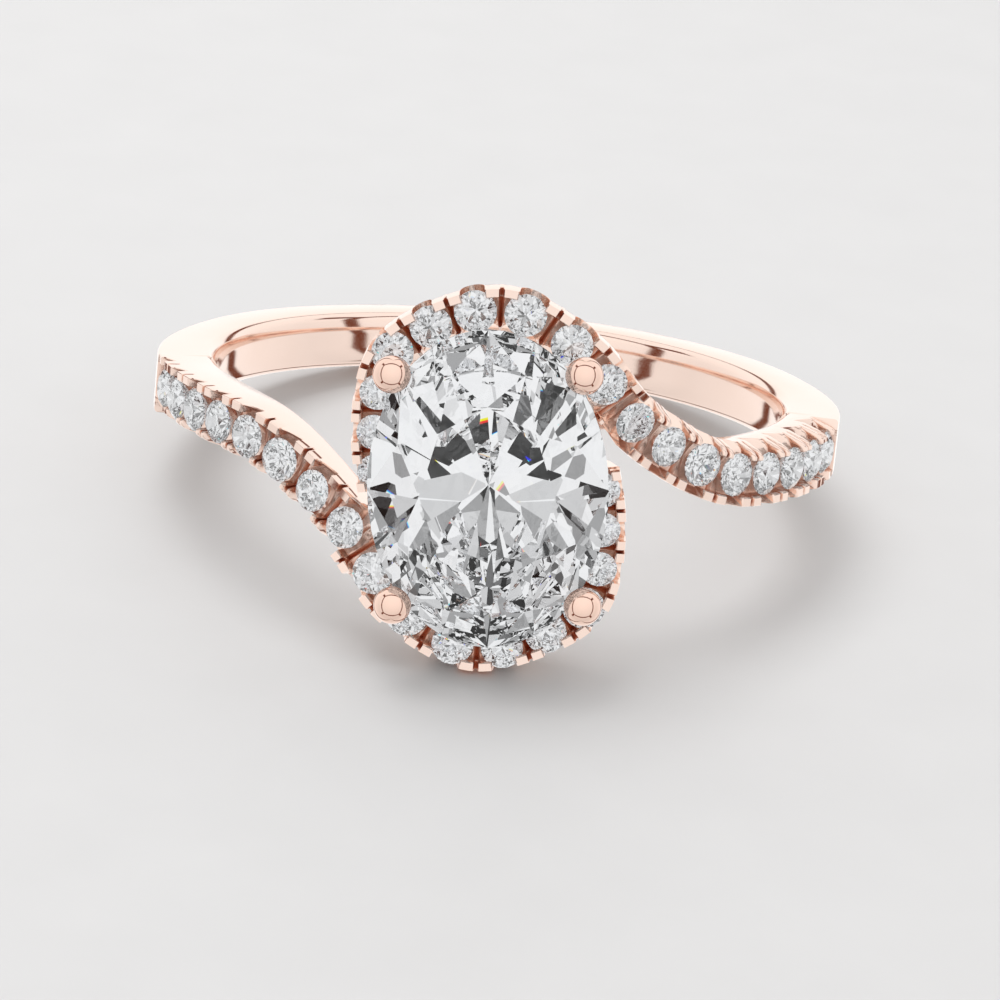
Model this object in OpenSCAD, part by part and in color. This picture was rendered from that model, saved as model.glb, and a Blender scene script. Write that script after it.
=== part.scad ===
// Bypass halo ring. Two strands of pave run up the band, pass on either side of
// an oval centre stone and close round it as a halo.
// It is drawn with the finger axis along Y and the head along Z, and is then laid
// on its side on the plane z = 0, on the lower edge of the halo and the back of the band.

/* [Band] */
// Inner diameter of the band, a US size 7
finger_d = 17.3; // [17.1:0.1:17.5]
// Width of the band along the finger
band_w = 1.8; // [1.7:0.05:1.9]
// Thickness of the plain part of the band
band_t = 1.45; // [1.4:0.01:1.5]
// How much thicker the band is where it meets the arms
shoulder = 0.32; // [0.2:0.02:0.4]
// Height of the eased edge on the inside of the band
comfort_edge = 0.24; // [0.1:0.02:0.3]

/* [Centre stone] */
// Width of the oval stone
stone_w = 6.7; // [6.6:0.05:6.8]
// Length of the oval stone
stone_l = 9.03; // [8.9:0.01:9.1]
// Height of its girdle above the finger hole
stone_rise = 2.88; // [2.8:0.01:3]
// Height of its crown
crown_h = 0.84; // [0.7:0.02:1]
// Depth of its pavilion
pavilion_h = 2.72; // [2.5:0.02:2.74]
// Width of its table as a share of the stone
table_share = 0.56; // [0.5:0.01:0.64]
// Turn of the oval against the band, in degrees
head_turn = 5.2; // [4:0.2:6]

/* [Pave] */
// Diameter of the six stones along the side of each arm
arm_d = 1.27; // [1.2:0.01:1.27]
// Diameter of the eight stones that turn up from the arm and over the halo
melee_d = 1.2; // [1.14:0.01:1.2]
// Diameter of the last three stones of each strand
tail_d = 1; // [0.95:0.01:1]
// Air between a stone and the metal round it
seat_gap = 0.03; // [0.02:0.01:0.04]

/* [Claws] */
// Radius of the four round claw tips that hold the centre stone
bead_r = 0.53; // [0.48:0.01:0.56]
// Height of the small claws above the girdle of the stones that they hold
claw_rise = 0.17; // [0.1:0.01:0.2]

/* [Hidden] */
ROSE_GOLD = [0.91, 0.67, 0.56];
DIAMOND = [0.88, 0.91, 0.95];

finger_r = finger_d / 2;
band_r = finger_r + band_t;
half_w = band_w / 2;
crisp = 0.1;                   // bevel on the outer edges of the plain band
cut_r = finger_r - 0.35;       // how far the metal is drawn into the hole before it is bored
girdle_z = finger_r + stone_rise;
seat_r = band_r + 0.05;        // girdles of the arm stones, from the finger axis
rail_drop = 0.24;              // top of a rail, below the girdles that stand over it

// The centre line of one strand, a row for each station from the side of the
// band up the arm, over the halo and down to its tail
//   turn   angle round the finger from the head
//   lift   height above the seats of the arm
//   side   distance along the finger
//   face   angle at which the seats look out
//   outer, inner   half widths of the rail
//   edge           width of the slope along its outer edge
//   wall, tuck     depth at which the wall turns in, and how far it has leaned in by there
//   depth, foot    depth and half width of the underside
arm_wall = seat_r - finger_r - comfort_edge;
arm_depth = seat_r - cut_r;
arm_foot = half_w - (arm_depth - arm_wall);
STATIONS = [
    //turn   lift   side   face  outer   inner   edge  wall      tuck  depth      foot
    [90.0,  0.10,  0.00,  90.0, half_w, half_w, 0.12, arm_wall, 0.00, arm_depth, arm_foot],
    [74.0,  0.05,  0.00,  74.0, half_w, half_w, 0.12, arm_wall, 0.00, arm_depth, arm_foot],
    [58.0,  0.00,  0.00,  58.0, half_w, half_w, 0.12, arm_wall, 0.00, arm_depth, arm_foot],
    [43.5,  0.00,  0.15,  43.5, half_w, half_w, 0.12, arm_wall, 0.08, arm_depth, arm_foot],
    [32.2,  0.00,  0.86,  29.0, half_w, half_w, 0.12, arm_wall, 0.20, arm_depth, arm_foot],
    [20.9,  0.42,  2.05,  15.0, 0.86,   0.80,   0.12, 1.30,     0.24, 1.95,      0.34],
    [12.4,  0.60,  3.81,   6.0, 0.70,   0.64,   0.06, 0.85,     0.22, 1.45,      0.30],
    [ 0.9,  0.35,  4.89,   1.0, 0.64,   0.62,   0.04, 0.80,     0.20, 1.35,      0.26],
    [-9.7,  0.50,  4.33,  -2.0, 0.64,   0.62,   0.04, 0.80,     0.20, 1.35,      0.26],
    [-16.7, 0.81,  3.12,  -4.0, 0.66,   0.60,   0.04, 0.80,     0.20, 1.35,      0.26],
    [-17.5, 0.86,  0.99,  -5.0, 0.68,   0.54,   0.04, 0.80,     0.18, 1.35,      0.26],
    [-16.0, 0.77, -1.11,  -5.0, 0.48,   0.50,   0.04, 0.80,     0.10, 1.35,      0.26],
    [-15.2, 0.74, -1.75,  -5.0, 0.25,   0.45,   0.04, 0.80,     0.04, 1.35,      0.20]
];
TURN = 0;
LIFT = 1;
SIDE = 2;
FACE = 3;
OUTER = 4;
INNER = 5;
EDGE = 6;
WALL = 7;
TUCK = 8;
DEPTH = 9;
FOOT = 10;

// The stones of one strand, a row for each run of equal spacing
first_seat = 2.62;             // from the strand's start to its first stone
RUNS = [
    //stones, diameter, gap between neighbours
    [6, arm_d,   0.12],
    [5, melee_d, 0.34],
    [3, melee_d, 0.11],
    [3, tail_d,  0.14]
];
arm_count = 8;                 // stones of a strand that lie on its arm
halo_count = 9;                // and in its half of the halo

// The prong posts, a row for each station from the claw tip down, measured from
// the middle of the girdle
PRONG_STATIONS = [
    //across, along, height, radius
    [2.65, 3.28,  0.20, 0.30],
    [2.48, 3.07, -0.45, 0.27],
    [2.20, 2.75, -1.00, 0.26],
    [2.10, 2.62, -1.70, 0.27],
    [2.05, 2.50, -2.45, 0.30]
];
basket_w = 5.4;                // across the base rail of the basket, middle to middle
basket_l = 7.3;
basket_rise = 0.42;            // middle of the base rail above the finger hole

function two_digits(n) = n < 10 ? str("0", n) : str(n);
HALO_NAMES = [for (i = [1:2 * halo_count]) str("halo_stone_", two_digits(i))];
ARM_NAMES = [for (i = [1:2 * arm_count]) str("arm_stone_", two_digits(i))];

// Curve through the rows of a table, all of its columns at once
function row_at(rows, t) =
    let (
        last = len(rows) - 1,
        i = max(0, min(floor(t), last - 1)),
        u = t - i,
        before = rows[max(i - 1, 0)],
        here = rows[i],
        next = rows[i + 1],
        after = rows[min(i + 2, last)]
    )
    (2 * here
        + (next - before) * u
        + (2 * before - 5 * here + 4 * next - after) * u * u
        + (3 * here - before - 3 * next + after) * u * u * u) / 2;

function unit(v) = v / norm(v);

function strand_point(row) =
    [(seat_r + row[LIFT]) * sin(row[TURN]), row[SIDE], (seat_r + row[LIFT]) * cos(row[TURN])];

// Arc length along the strand against the station number
samples = 240;
last_station = len(STATIONS) - 1;
TRACK = [for (i = [0:samples]) strand_point(row_at(STATIONS, i * last_station / samples))];
LENGTHS = [
    for (
        i = 0, run = 0;
        i <= samples;
        i = i + 1, run = run + (i <= samples ? norm(TRACK[i] - TRACK[i - 1]) : 0)
    )
    [run, i * last_station / samples]
];
strand_l = LENGTHS[samples][0];
function station_at(run) = lookup(run, LENGTHS);

// Axes and origin of the strand at a run: along it, towards the inside of the
// halo, and out of the seats
function strand_frame(run) =
    let (
        step = 0.05,
        row = row_at(STATIONS, station_at(run)),
        ahead = strand_point(row_at(STATIONS, station_at(min(run + step, strand_l)))),
        behind = strand_point(row_at(STATIONS, station_at(max(run - step, 0)))),
        along = unit(ahead - behind),
        look = [sin(row[FACE]), 0, cos(row[FACE])],
        out = unit(look - (look * along) * along)
    )
    [along, cross(out, along), out, strand_point(row)];

// Diameters of a strand's stones, and their places along it
SEAT_D = [for (r = RUNS) for (k = [1:r[0]]) r[1]];
SEAT_GAP = [for (r = RUNS) for (k = [1:r[0]]) r[2]];
function pitch(i) = (SEAT_D[i - 1] + SEAT_D[i] + SEAT_GAP[i - 1] + SEAT_GAP[i]) / 2;
SEAT_RUN = [
    for (
        i = 0, run = first_seat;
        i < len(SEAT_D);
        i = i + 1, run = run + (i < len(SEAT_D) ? pitch(i) : 0)
    )
    run
];
last_seat = len(SEAT_D) - 1;

// Solid through a list of rings that have the same number of points each
module skin(rings) {
    n = len(rings[0]);
    top = (len(rings) - 1) * n;
    points = [for (ring = rings) for (p = ring) p];
    walls = [
        for (r = [0:len(rings) - 2])
        for (k = [0:n - 1])
        for (half = [0, 1])
        let (a = r * n + k, b = r * n + (k + 1) % n)
        half == 0 ? [a, b, b + n] : [a, b + n, a + n]
    ];
    bottom_cap = [for (k = [n - 1:-1:0]) k];
    top_cap = [for (k = [0:n - 1]) top + k];
    polyhedron(points, concat([bottom_cap], walls, [top_cap]), convexity = 6);
}

// Children drawn at a place on the strand, X along it and Z out of the seats
module on_strand(run) {
    f = strand_frame(run);
    multmatrix([
        [f[0][0], f[1][0], f[2][0], f[3][0]],
        [f[0][1], f[1][1], f[2][1], f[3][1]],
        [f[0][2], f[1][2], f[2][2], f[3][2]],
        [0, 0, 0, 1]
    ])
    children();
}

// The swept rail under one strand of stones
module rail() {
    rings = 46;
    function ring(run) =
        let (
            f = strand_frame(run),
            row = row_at(STATIONS, station_at(run)),
            outline = [
                [row[INNER], -rail_drop],
                [row[INNER] - row[TUCK], -row[WALL]],
                [row[FOOT], -row[DEPTH]],
                [-row[FOOT], -row[DEPTH]],
                [row[TUCK] - row[OUTER], -row[WALL]],
                [-row[OUTER], -rail_drop - 2 * row[EDGE]],
                [row[EDGE] - row[OUTER], -rail_drop]
            ]
        )
        [for (p = outline) f[3] + p[0] * f[1] + p[1] * f[2]];
    skin([for (i = [0:rings]) ring(i * strand_l / rings)]);
}

// The U-shaped cut that leaves a stone open at both sides of the rail. It slopes,
// shallow at the outer edge and deep at the inner one.
module u_cut(d) {
    u_r = 0.31 * d;
    u_slope = 12;
    cut_w = 3 * half_w;
    translate([0, 0, 0.04 - rail_drop])
        rotate([90 - u_slope, 0, 0])
            cylinder(r = u_r, h = cut_w, center = true, $fn = 12);
}

// The claws in one gap between stones. They are split in pairs, but for the inner
// edge of the halo. The outer ones curve over to the side of the rail.
module claws(run, on_arm) {
    row = row_at(STATIONS, station_at(run));
    claw_l = on_arm ? 0.23 : 0.17;
    claw_w = on_arm ? 0.26 : 0.15;
    curve_w = on_arm ? 0.28 : 0.1;
    tip_w = 0.1;
    split = 0.06;
    root = 0.2;
    inset = 0.03;
    inner_l = 0.12;
    module outer_claw(x) {
        tip_y = curve_w - row[OUTER];
        translate([x - claw_l / 2, 0, 0])
            rotate([90, 0, 90])
                linear_extrude(claw_l)
                    polygon([
                        [2 * inset - row[OUTER], -rail_drop - root],
                        [tip_y + tip_w, -rail_drop - root],
                        [tip_y + tip_w, claw_rise],
                        [tip_y, claw_rise],
                        [0.25 * curve_w + 0.02 - row[OUTER], 0.04 - rail_drop]
                    ]);
    }
    module inner_claw(x, l) {
        translate([x - l / 2, row[INNER] - inset - claw_w, -rail_drop - root])
            cube([l, claw_w, rail_drop + root + claw_rise]);
    }
    on_strand(run) {
        for (s = [-1, 1])
            outer_claw(s * (split + claw_l) / 2);
        if (on_arm)
            for (s = [-1, 1])
                inner_claw(s * (split + claw_l) / 2, claw_l);
        else
            inner_claw(0, inner_l);
    }
}

// One strand with its cuts and claws
module strand() {
    function between(i) = (SEAT_RUN[i - 1] + SEAT_RUN[i]) / 2;
    difference() {
        rail();
        for (i = [0:last_seat])
            on_strand(SEAT_RUN[i])
                u_cut(SEAT_D[i]);
    }
    claws(SEAT_RUN[0] - pitch(1) / 2, true);
    for (i = [1:last_seat])
        claws(between(i), i < arm_count);
    claws(SEAT_RUN[last_seat] + pitch(last_seat) / 2, false);
}

// The plain part of the band, from the end of one arm round the back to the
// other. It is thickest at the arms, and even from the turn where they fade out.
module plain_band() {
    from = 79;
    even = 114;
    steps = 60;
    sweep = 360 - 2 * from;
    foot = half_w - (finger_r + comfort_edge - cut_r);
    function outer_r(turn) =
        let (past = min(1, (min(turn, 360 - turn) - from) / (even - from)))
        band_r + shoulder * (1 + cos(180 * past)) / 2;
    function outline(r) = [
        [half_w - crisp, r],
        [half_w, r - crisp],
        [half_w, finger_r + comfort_edge],
        [foot, cut_r],
        [-foot, cut_r],
        [-half_w, finger_r + comfort_edge],
        [-half_w, r - crisp],
        [crisp - half_w, r]
    ];
    function ring(turn) = [for (p = outline(outer_r(turn))) [p[1] * sin(turn), p[0], p[1] * cos(turn)]];
    skin([for (i = [0:steps]) ring(from + i * sweep / steps)]);
}

// Children drawn in the frame of the centre stone: its girdle at z = 0
module on_head() {
    translate([0, 0, girdle_z])
        rotate(head_turn)
            children();
}

// One of the four prongs: a round claw tip on a post, with a strut out to the halo
module prong(mirror_x) {
    sides = 8;
    tip = PRONG_STATIONS[0];
    strut_z = -1.9;
    strut_r = 0.16;
    reach = 1.02;
    rows = [for (i = [0:8]) row_at(PRONG_STATIONS, i / 2)];
    function ring(row) =
        [for (k = [0:sides - 1])
            [row[0] + row[3] * cos(k * 360 / sides), row[1] + row[3] * sin(k * 360 / sides), row[2]]];
    mirror([mirror_x, 0, 0]) {
        skin([for (row = rows) ring(row)]);
        translate([tip[0], tip[1], tip[2]])
            sphere(r = bead_r, $fn = 18);
        translate([2.08, 2.56, strut_z])
            rotate([0, 90, atan2(tip[1], tip[0])])
                cylinder(r = strut_r, h = reach, $fn = 8);
    }
}

// The oval rail at the foot of the basket, open in the middle under the stone
module base_rail() {
    steps = 32;
    rail_w = 0.6;
    rail_h = 0.62;
    z = finger_r + basket_rise - girdle_z;
    function oval(grow, height) =
        [for (k = [0:steps - 1])
            [
                (basket_w / 2 + grow) * cos(k * 360 / steps),
                (basket_l / 2 + grow) * sin(k * 360 / steps),
                z + height
            ]];
    difference() {
        skin([oval(rail_w / 2, rail_h / 2), oval(rail_w / 2, -rail_h / 2)]);
        skin([oval(-rail_w / 2, rail_h), oval(-rail_w / 2, -rail_h)]);
    }
}

// The short link from the basket out to the underside of an arm
module link() {
    steps = 3;
    link_w = 0.7;
    side = 1.75;
    inner_turn = 14;
    outer_turn = 25;
    top_r = finger_r + 0.72;
    outline = [[link_w / 2, top_r], [link_w / 2, cut_r], [-link_w / 2, cut_r], [-link_w / 2, top_r]];
    function ring(turn) = [for (p = outline) [p[1] * sin(turn), side + p[0], p[1] * cos(turn)]];
    skin([for (i = [0:steps]) ring(inner_turn + i * (outer_turn - inner_turn) / steps)]);
}

// All of the metal before the finger hole is bored
module casting() {
    difference() {
        union() {
            plain_band();
            for (half_turn = [0, 180])
                rotate(half_turn) {
                    strand();
                    link();
                }
            on_head() {
                for (half_turn = [0, 180])
                    rotate(half_turn)
                        for (mirror_x = [0, 1])
                            prong(mirror_x);
                base_rail();
            }
        }
        on_head()
            oval_stone(seat_gap);
    }
}

module finger_hole() {
    hole_l = 16;
    rotate([90, 0, 0])
        cylinder(r = finger_r, h = hole_l, center = true, $fn = 180);
}

// A brilliant cut with eight mains. Each of its sixteen girdle arcs has arc_steps
// straight edges, and grow widens it all round, as a cutter for its own seat. The
// facets are planes: the two edges of the girdle wave up and down where the planes
// meet it, and half facets and mains meet in straight lines.
module brilliant(width, length, table, crown, pavilion, girdle, arc_steps, grow) {
    mains = 8;
    sector = 360 / mains;
    half_arc = sector / 4;
    rx = width / 2 + grow;
    ry = length / 2 + grow;
    rim_z = girdle / 2 + grow;
    mid_share = (1 + table) / 2 + 0.02;
    mid_rise = crown * (1 - mid_share * cos(sector / 2)) / (1 - table);
    low_share = 0.24;
    low_drop = pavilion * (1 - low_share * cos(sector / 2));
    around = 2 * mains * arc_steps;
    function at(share, angle, z) = [rx * share * cos(angle), ry * share * sin(angle), z];
    function past_chord(k) =
        cos((k % arc_steps) * 2 * half_arc / arc_steps - half_arc) / cos(half_arc) - 1;
    function crown_rim(k) = rim_z - past_chord(k) * mid_rise / (1 - mid_share);
    function pavilion_rim(k) = -rim_z + past_chord(k) * low_drop / (1 - low_share);
    points = concat(
        [for (i = [0:mains - 1]) at(table, i * sector, rim_z + crown)],
        [for (i = [0:mains - 1]) at(mid_share, (i + 0.5) * sector, rim_z + mid_rise)],
        [for (k = [0:around - 1]) at(1, k * 360 / around, crown_rim(k))],
        [for (k = [0:around - 1]) at(1, k * 360 / around, pavilion_rim(k))],
        [for (i = [0:mains - 1]) at(low_share, (i + 0.5) * sector, -rim_z - low_drop)],
        [[0, 0, -rim_z - pavilion]]
    );
    mid = mains;
    upper = 2 * mains;
    lower = upper + around;
    low = lower + around;
    culet = low + mains;
    function wrap(i) = (i + mains) % mains;
    function rim(k) = (k + around) % around;
    faces = concat(
        [[for (i = [mains - 1:-1:0]) i]],
        [for (i = [0:mains - 1]) [i, wrap(i + 1), mid + i]],
        [for (i = [0:mains - 1]) [i, mid + i, upper + rim(2 * i * arc_steps)]],
        [for (i = [0:mains - 1]) [i, upper + rim(2 * i * arc_steps), mid + wrap(i - 1)]],
        [for (i = [0:mains - 1]) for (k = [0:2 * arc_steps - 1])
            let (g = 2 * i * arc_steps + k)
            [mid + i, upper + rim(g + 1), upper + rim(g)]],
        [for (k = [0:around - 1]) [upper + k, upper + rim(k + 1), lower + rim(k + 1)]],
        [for (k = [0:around - 1]) [upper + k, lower + rim(k + 1), lower + k]],
        [for (i = [0:mains - 1]) for (k = [0:2 * arc_steps - 1])
            let (g = 2 * i * arc_steps + k)
            [low + i, lower + rim(g), lower + rim(g + 1)]],
        [for (i = [0:mains - 1]) [culet, lower + rim(2 * i * arc_steps), low + i]],
        [for (i = [0:mains - 1]) [culet, low + wrap(i - 1), lower + rim(2 * i * arc_steps)]]
    );
    polyhedron(points, faces, convexity = 2);
}

module oval_stone(grow) {
    stone_girdle = 0.14;
    brilliant(stone_w, stone_l, table_share, crown_h, pavilion_h, stone_girdle, 3, grow);
}

// One small stone, which stands in its seat without touching the metal
module melee(d) {
    brilliant(d, d, 0.56, 0.15 * d, 0.4 * d, 0.03 * d, 1, 0);
}

// Lays the drawn ring on its side: the finger axis upright, then leaned back
// until the lowest claws of the halo and the edge at the back of the band both
// rest. The plane z = 0 is under them, and the origin under the middle of the ring,
// between the lower round claw tips and the back of the band.
halo_reach = 5.54;             // lowest claw of the halo: below the middle of the band,
halo_front = 10.18;            // and in front of the finger axis
heel_r = band_r - crisp;
rest_lean = atan2(halo_reach - half_w, halo_front + heel_r);
rest_height = heel_r * sin(rest_lean) + half_w * cos(rest_lean);
bead = PRONG_STATIONS[0];
bead_low = bead[0] * sin(head_turn) + bead[1] * cos(head_turn);
reach_front = (girdle_z + bead[2]) * cos(rest_lean) + bead_low * sin(rest_lean) + bead_r;
reach_back = band_r * cos(rest_lean) + (half_w - crisp) * sin(rest_lean);
rest_shift = [0, (reach_front - reach_back) / 2, rest_height];
module laid() {
    translate(rest_shift)
        rotate([-rest_lean, 0, 0])
            rotate([90, 0, 0])
                children();
}

module ring_setting() {
    color(ROSE_GOLD)
    laid()
    difference() {
        resize([0, 0, 0])
            casting();
        finger_hole();
    }
}

module center_stone() {
    color(DIAMOND)
    laid()
    on_head()
    oval_stone(0);
}

// Stones are numbered along the first strand and then along the second
module strand_stone(half_turn, seat) {
    color(DIAMOND)
    laid()
    rotate(half_turn)
    on_strand(SEAT_RUN[seat])
    melee(SEAT_D[seat]);
}

module arm_stone(n) {
    strand_stone(n > arm_count ? 180 : 0, (n - 1) % arm_count);
}

module halo_stone(n) {
    strand_stone(n > halo_count ? 180 : 0, arm_count + (n - 1) % halo_count);
}

ring_setting();
center_stone();
for (i = [1:len(HALO_NAMES)])
    halo_stone(i);
for (i = [1:len(ARM_NAMES)])
    arm_stone(i);
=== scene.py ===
# %% [markdown]
# # A rose-gold bypass ring with a halo
# The ring was first built as solids in a CAD program. This notebook opens those
# solids in Blender, makes the metal again as three finely cut meshes, gives the
# gold and the stones their finish, and sets up a small studio to look at them in.
# Every piece stays where the CAD model has it.

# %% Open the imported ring
import math

import bmesh
import bpy
import numpy as np
from mathutils import Matrix, Vector


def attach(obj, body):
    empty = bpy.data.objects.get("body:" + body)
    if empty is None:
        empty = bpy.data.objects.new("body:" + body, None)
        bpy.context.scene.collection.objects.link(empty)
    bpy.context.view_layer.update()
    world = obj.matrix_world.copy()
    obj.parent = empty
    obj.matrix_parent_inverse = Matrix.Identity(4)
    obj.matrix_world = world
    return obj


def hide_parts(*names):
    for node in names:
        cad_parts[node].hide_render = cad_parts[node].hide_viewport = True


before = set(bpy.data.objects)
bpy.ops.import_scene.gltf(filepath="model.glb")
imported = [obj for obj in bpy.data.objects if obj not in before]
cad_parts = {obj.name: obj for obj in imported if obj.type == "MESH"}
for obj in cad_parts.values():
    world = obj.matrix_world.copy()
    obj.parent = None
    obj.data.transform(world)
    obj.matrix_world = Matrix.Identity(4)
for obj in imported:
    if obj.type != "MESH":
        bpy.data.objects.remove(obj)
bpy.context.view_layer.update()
print("solids from the CAD model:", len(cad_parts))

# %% [markdown]
# ## The camera
# A ring is photographed with a long lens from a little above the table. Such a
# lens stands farther off, so the far side of the band shrinks less: this one is a
# 144 mm lens, 12 cm away. The camera is turned about its own axis by a few
# degrees too, which sets the oval stone upright in the picture.

# %% Set up the camera
MM = 0.001
LENS = 144
SENSOR_W = 36
CAMERA_AT = (0.241, -109.060, 54.984)
CAMERA_DOWN = math.radians(26.551)
CAMERA_TURN = math.radians(-0.070)
CAMERA_ROLL = math.radians(5.593)

lens = bpy.data.cameras.new("portrait_lens")
lens.lens = LENS
lens.sensor_width = SENSOR_W
lens.clip_start = 1 * MM
lens.clip_end = 10
camera = bpy.data.objects.new("portrait_camera", lens)
turn = Matrix.Rotation(CAMERA_TURN, 4, "Z")
tilt = Matrix.Rotation(math.pi / 2 - CAMERA_DOWN, 4, "X")
roll = Matrix.Rotation(CAMERA_ROLL, 4, "Z")
camera.matrix_world = Matrix.Translation(Vector(CAMERA_AT) * MM) @ turn @ tilt @ roll
bpy.context.collection.objects.link(camera)
bpy.context.scene.camera = camera
print("camera stands", round(Vector(CAMERA_AT).length), "mm from the ring")

# %% [markdown]
# ## Helpers for materials
# A material is a small network of nodes. Two helpers keep the cells that follow
# short: one adds a node with its settings, and one opens a new node group with
# the sockets that it is given.

# %% Write two helpers for node trees
def add_node(tree, kind, values=(), **settings):
    node = tree.nodes.new("ShaderNode" + kind)
    for name, value in settings.items():
        setattr(node, name, value)
    for socket, value in dict(values).items():
        node.inputs[socket].default_value = value
    return node


def new_group(name, inputs, outputs):
    group = bpy.data.node_groups.new(name, "ShaderNodeTree")
    for title, kind, value in inputs:
        socket = group.interface.new_socket(title, in_out="INPUT", socket_type="NodeSocket" + kind)
        socket.default_value = value
    for title, kind in outputs:
        group.interface.new_socket(title, in_out="OUTPUT", socket_type="NodeSocket" + kind)
    return group, group.nodes.new("NodeGroupInput"), group.nodes.new("NodeGroupOutput")


# %% [markdown]
# ## What a buffed surface carries
# Polished gold isn't a perfect mirror. The buffing wheel leaves hair-fine lines
# that run mostly one way, the surface rolls very slightly, and the alloy's tone
# drifts a little from place to place. One node group makes all three, and each
# material that uses it chooses its own sizes. The stones take only a slight drift
# of tone from it, since their facets are cut flat and bright.

# %% Build the group for buffed surfaces
BRUSH_STRETCH = (0.12, 1.0, 0.5)
BRUSH_TURN = (0.3, 0.5, 0.2)
DULL_SPAN = (0.12, 0.42)
LINE_SHARE = 0.15


def buffed_surface():
    group, given, made = new_group(
        "buffed_surface",
        [
            ("Tone", "Color", (1, 1, 1, 1)),
            ("Second Tone", "Color", (1, 1, 1, 1)),
            ("Patch Size", "Float", 1.0),
            ("Line Size", "Float", 0.02),
            ("Smoothest", "Float", 0.05),
            ("Roughest", "Float", 0.15),
        ],
        [("Color", "Color"), ("Roughness", "Float"), ("Height", "Float")],
    )
    link = group.links.new
    place = add_node(group, "TexCoord")
    in_mm = add_node(group, "VectorMath", operation="SCALE")
    in_mm.inputs["Scale"].default_value = 1 / MM
    link(place.outputs["Object"], in_mm.inputs[0])

    patch_scale = add_node(group, "Math", {0: 1.0}, operation="DIVIDE")
    link(given.outputs["Patch Size"], patch_scale.inputs[1])
    patches = add_node(group, "TexNoise", {"Detail": 3.0, "Roughness": 0.55})
    link(in_mm.outputs[0], patches.inputs["Vector"])
    link(patch_scale.outputs[0], patches.inputs["Scale"])

    stretch = add_node(group, "Mapping", {"Scale": BRUSH_STRETCH, "Rotation": BRUSH_TURN})
    link(in_mm.outputs[0], stretch.inputs["Vector"])
    line_scale = add_node(group, "Math", {0: 1.0}, operation="DIVIDE")
    link(given.outputs["Line Size"], line_scale.inputs[1])
    lines = add_node(group, "TexNoise", {"Detail": 2.0})
    link(stretch.outputs[0], lines.inputs["Vector"])
    link(line_scale.outputs[0], lines.inputs["Scale"])

    tone = add_node(group, "Mix", data_type="RGBA")
    link(patches.outputs["Fac"], tone.inputs["Factor"])
    link(given.outputs["Tone"], tone.inputs["A"])
    link(given.outputs["Second Tone"], tone.inputs["B"])
    link(tone.outputs["Result"], made.inputs["Color"])

    both = add_node(group, "Math", operation="MULTIPLY")
    link(patches.outputs["Fac"], both.inputs[0])
    link(lines.outputs["Fac"], both.inputs[1])
    rough = add_node(group, "MapRange", {"From Min": DULL_SPAN[0], "From Max": DULL_SPAN[1]})
    link(both.outputs[0], rough.inputs["Value"])
    link(given.outputs["Smoothest"], rough.inputs["To Min"])
    link(given.outputs["Roughest"], rough.inputs["To Max"])
    link(rough.outputs["Result"], made.inputs["Roughness"])

    roll_part = add_node(group, "Math", {1: 1 - LINE_SHARE}, operation="MULTIPLY")
    link(patches.outputs["Fac"], roll_part.inputs[0])
    height = add_node(group, "Math", {1: LINE_SHARE}, operation="MULTIPLY_ADD")
    link(lines.outputs["Fac"], height.inputs[0])
    link(roll_part.outputs[0], height.inputs[2])
    link(height.outputs[0], made.inputs["Height"])
    return group


BUFFED = buffed_surface()
print("sockets of the buffed surface:", [s.name for s in BUFFED.interface.items_tree])

# %% [markdown]
# The wheel doesn't reach everywhere. In the gaps between the claws the gold stays
# a little rough. A second group finds such places by how much of the sky is hidden
# from them, makes them rougher, and paints a darker, redder shade into their
# colour: painted shade that stands for light bouncing there from gold to gold.

# %% Build the group for rough recesses and their painted shade
# Sky seen, from closed to wide, over which the painted shade and the extra roughness fade out.
PAINTED_SHADE_SIGHT = (0.12, 0.82)
ROUGHNESS_SIGHT = (0.50, 0.80)


def recess_shade():
    group, given, made = new_group(
        "recess_shade",
        [
            ("Color", "Color", (1, 1, 1, 1)),
            ("Painted Recess Shade", "Color", (0.2, 0.1, 0.1, 1)),
            ("Roughness", "Float", 0.1),
            ("Recess Roughness", "Float", 0.4),
            ("Reach", "Float", 0.001),
        ],
        [("Color", "Color"), ("Roughness", "Float")],
    )
    link = group.links.new
    # Painted shade: where little sky is seen, the colour is mixed to a darker, redder tone and the roughness
    # rises.
    open_share = add_node(group, "AmbientOcclusion", samples=4)
    link(given.outputs["Reach"], open_share.inputs["Distance"])
    for title, in_recess, kind, (closed, wide) in (
            ("Color", "Painted Recess Shade", "RGBA", PAINTED_SHADE_SIGHT),
            ("Roughness", "Recess Roughness", "FLOAT", ROUGHNESS_SIGHT)):
        sight = {"From Min": closed, "From Max": wide}
        light = add_node(group, "MapRange", sight, interpolation_type="SMOOTHSTEP")
        link(open_share.outputs["AO"], light.inputs["Value"])
        blend = add_node(group, "Mix", data_type=kind)
        link(light.outputs["Result"], blend.inputs["Factor"])
        link(given.outputs[in_recess], blend.inputs["A"])
        link(given.outputs[title], blend.inputs["B"])
        link(blend.outputs["Result"], made.inputs[title])
    return group


RECESS = recess_shade()
print("sockets of the recess shade:", [s.name for s in RECESS.interface.items_tree])

# %% [markdown]
# ## Rose gold and brilliant-cut stones
# Rose gold is gold with a good deal of copper: it shines nearly white in a
# strong light, and turns to a warm brown where it mirrors the dark. The stones
# are clear, and their sparkle comes from their facets and a refractive index of
# 2.42, which bends light so hard that most of it comes back out of the top. A
# polarising filter on a lens takes the glare off facets, and the dark tint of
# their outer reflection stands for one here. It can be turned to suit the middle
# stone only: the small ones lean every way and keep most of their glare.

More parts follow.
